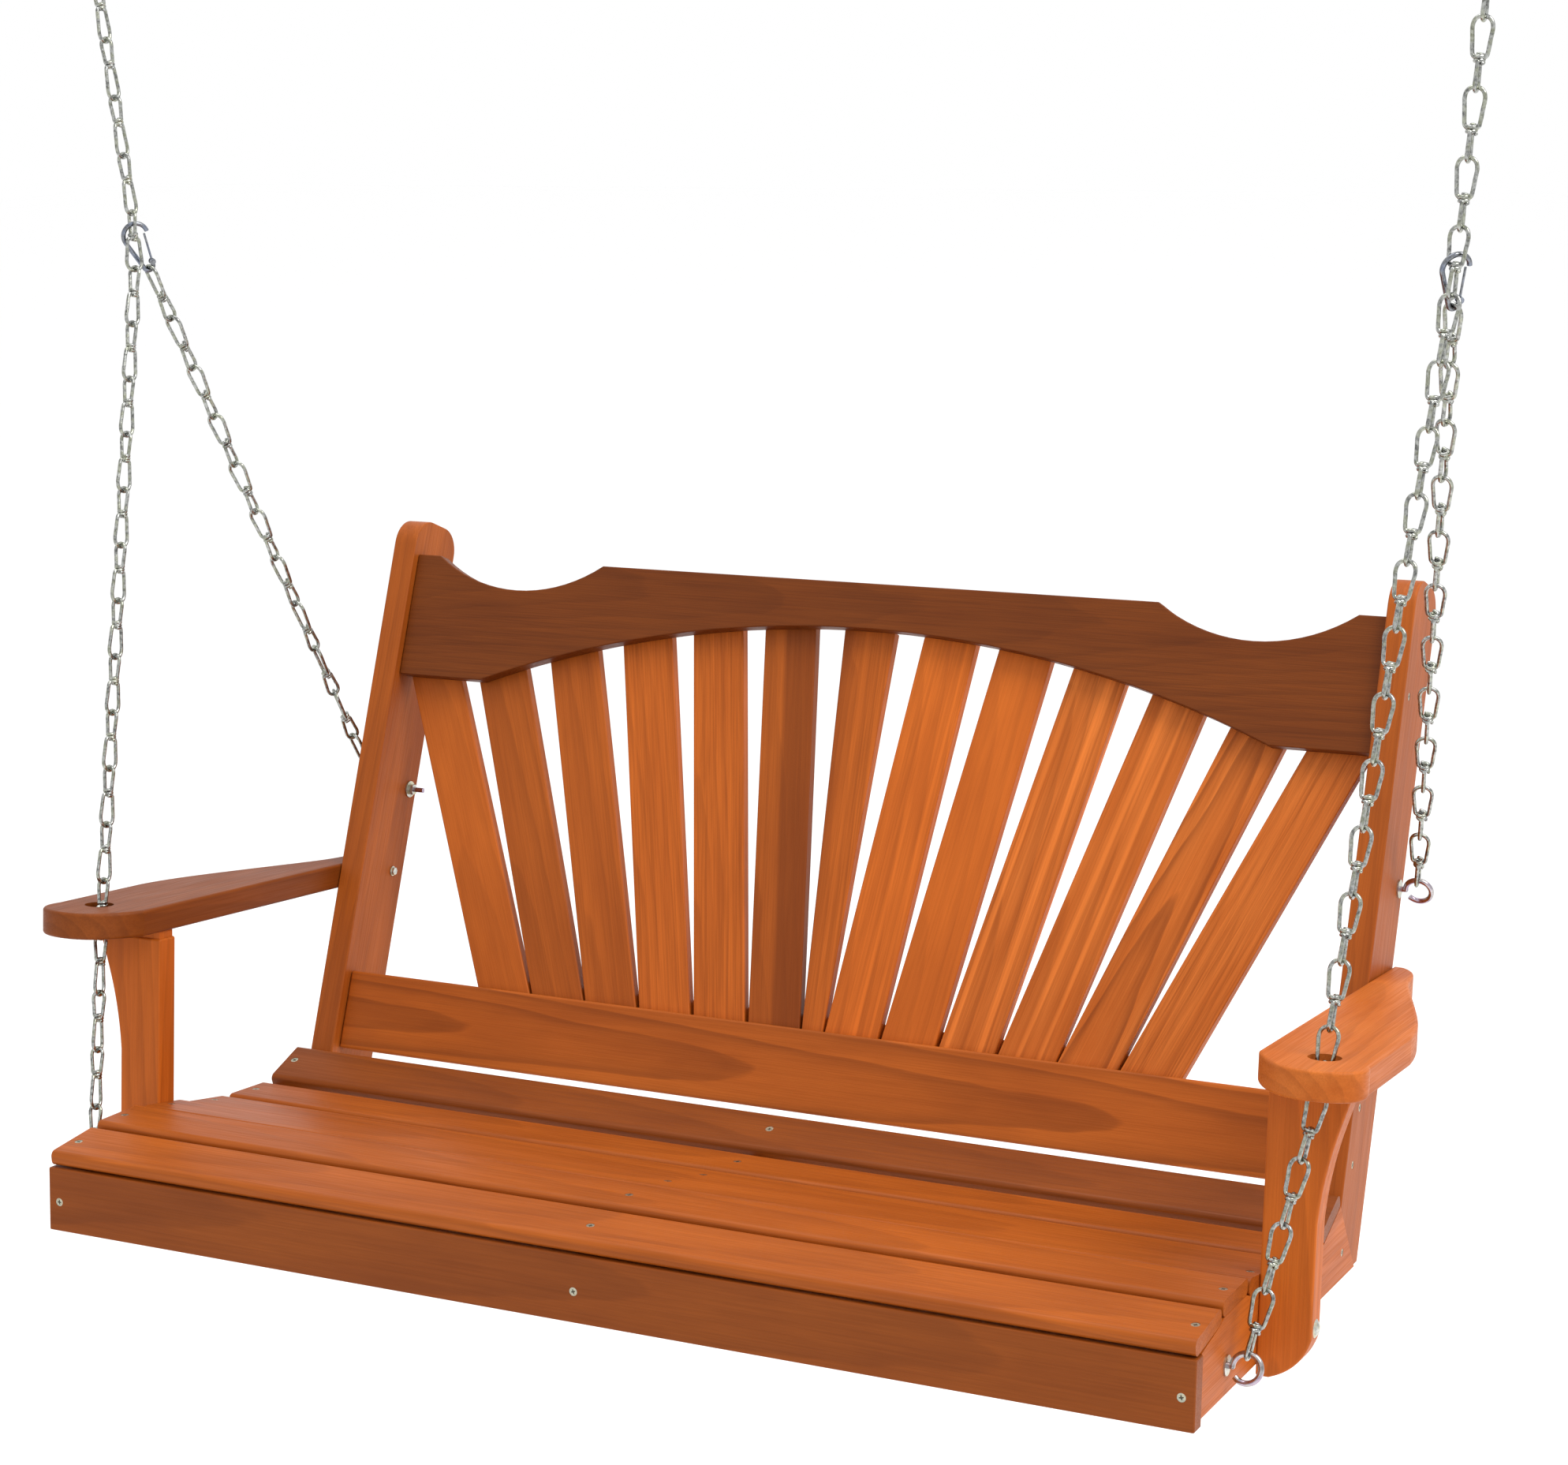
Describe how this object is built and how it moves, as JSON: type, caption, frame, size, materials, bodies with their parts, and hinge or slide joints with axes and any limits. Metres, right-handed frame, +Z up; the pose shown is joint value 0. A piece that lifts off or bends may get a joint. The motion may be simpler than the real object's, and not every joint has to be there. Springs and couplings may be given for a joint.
{
  "type": "porch swing",
  "caption": "Stained wooden porch swing with a dished slatted seat, fan-slat back and flat arms, hung on knotted-link chains from ceiling hooks.",
  "frame": {"origin": "midway between the two ceiling hooks' screws, in the plane of the ceiling", "axes": "+X along the seat's length, +Y from the seat's front to its back, +Z up through the ceiling"},
  "size_m": [1.508, 0.8001, 1.425],
  "materials": {
    "stained_slat": "satin",
    "stained_fan": "satin",
    "stained_frame": "satin",
    "zinc_chain": "bright zinc",
    "zinc_snap": "zinc",
    "zinc_eye": "zinc with a faint tint",
    "zinc_bolt": "zinc",
    "screw": "yellow zinc",
    "ceiling_hook": "zinc"
  },
  "bodies": {
    "ceiling_hooks": {"left_ceiling_hook": "ceiling_hook", "right_ceiling_hook": "ceiling_hook"},
    "left_hanger": {"left_hanging_chain": "zinc_chain"},
    "right_hanger": {"right_hanging_chain": "zinc_chain"},
    "left_gate": {"left_snap_gate": "zinc_snap"},
    "right_gate": {"right_snap_gate": "zinc_snap"},
    "swing_seat": {"apron_screws": "screw", "arm_lag_bolts": "zinc_bolt", "back_brace": "stained_frame", "carriage_bolt_nuts": "zinc_bolt", "carriage_bolts": "zinc_bolt", "centre_seat_brace": "stained_frame", "eye_bolt_nuts": "zinc_bolt", "eye_bolt_washers": "zinc_bolt", "fan_slat_01": "stained_fan", "fan_slat_02": "stained_fan", "fan_slat_03": "stained_fan", "fan_slat_04": "stained_fan", "fan_slat_05": "stained_fan", "fan_slat_06": "stained_fan", "fan_slat_07": "stained_fan", "fan_slat_08": "stained_fan", "fan_slat_09": "stained_fan", "fan_slat_10": "stained_fan", "fan_slat_11": "stained_fan", "fan_slat_12": "stained_fan", "fan_slat_13": "stained_fan", "front_apron": "stained_frame", "lap_screws": "screw", "left_arm": "stained_frame", "left_back_stile": "stained_frame", "left_front_chain": "zinc_chain", "left_front_eye_bolt": "zinc_eye", "left_front_post": "stained_frame", "left_rear_chain": "zinc_chain", "left_rear_eye_bolt": "zinc_eye", "left_side_rail": "stained_frame", "left_snap_hook": "zinc_snap", "left_snap_pin": "zinc_snap", "lower_back_rail": "stained_frame", "right_arm": "stained_frame", "right_back_stile": "stained_frame", "right_front_chain": "zinc_chain", "right_front_eye_bolt": "zinc_eye", "right_front_post": "stained_frame", "right_rear_chain": "zinc_chain", "right_rear_eye_bolt": "zinc_eye", "right_side_rail": "stained_frame", "right_snap_hook": "zinc_snap", "right_snap_pin": "zinc_snap", "seat_slat_1": "stained_slat", "seat_slat_2": "stained_slat", "seat_slat_3": "stained_slat", "seat_slat_4": "stained_slat", "seat_slat_5": "stained_slat", "seat_slat_6": "stained_slat", "seat_slat_screws": "screw", "side_screws": "screw", "top_back_rail": "stained_frame"}
  },
  "joints": [
    {"name": "left_hook_swing", "type": "hinge", "parent": "ceiling_hooks", "child": "left_hanger", "pos_m": [-0.74448, 0, -0.03953], "axis": [1, 0, 0], "range_deg": [-25, 25]},
    {"name": "right_hook_swing", "type": "hinge", "parent": "ceiling_hooks", "child": "right_hanger", "pos_m": [0.74448, 0, -0.03953], "axis": [1, 0, 0], "range_deg": [-25, 25]},
    {"name": "junction_swing", "type": "hinge", "parent": "left_hanger", "child": "swing_seat", "pos_m": [-0.71704, 0, -0.34105], "axis": [1, 0, 0], "range_deg": [-12, 12]},
    {"name": "left_gate_pivot", "type": "hinge", "parent": "swing_seat", "child": "left_gate", "pos_m": [-0.70785, 0.01684, -0.39647], "axis": [0.7817, -0.6106, -0.1274], "range_deg": [0, 16], "stiffness_Nm_per_rad": 0.02, "springref_deg": -20.05},
    {"name": "right_gate_pivot", "type": "hinge", "parent": "swing_seat", "child": "right_gate", "pos_m": [0.71339, 0.0164, -0.40769], "axis": [0.6377, -0.6844, -0.3534], "range_deg": [0, 24], "stiffness_Nm_per_rad": 0.02, "springref_deg": -20.05}
  ],
  "couplings": [
    {"joint": "right_hook_swing", "follows": "left_hook_swing", "ratio": 1}
  ]
}
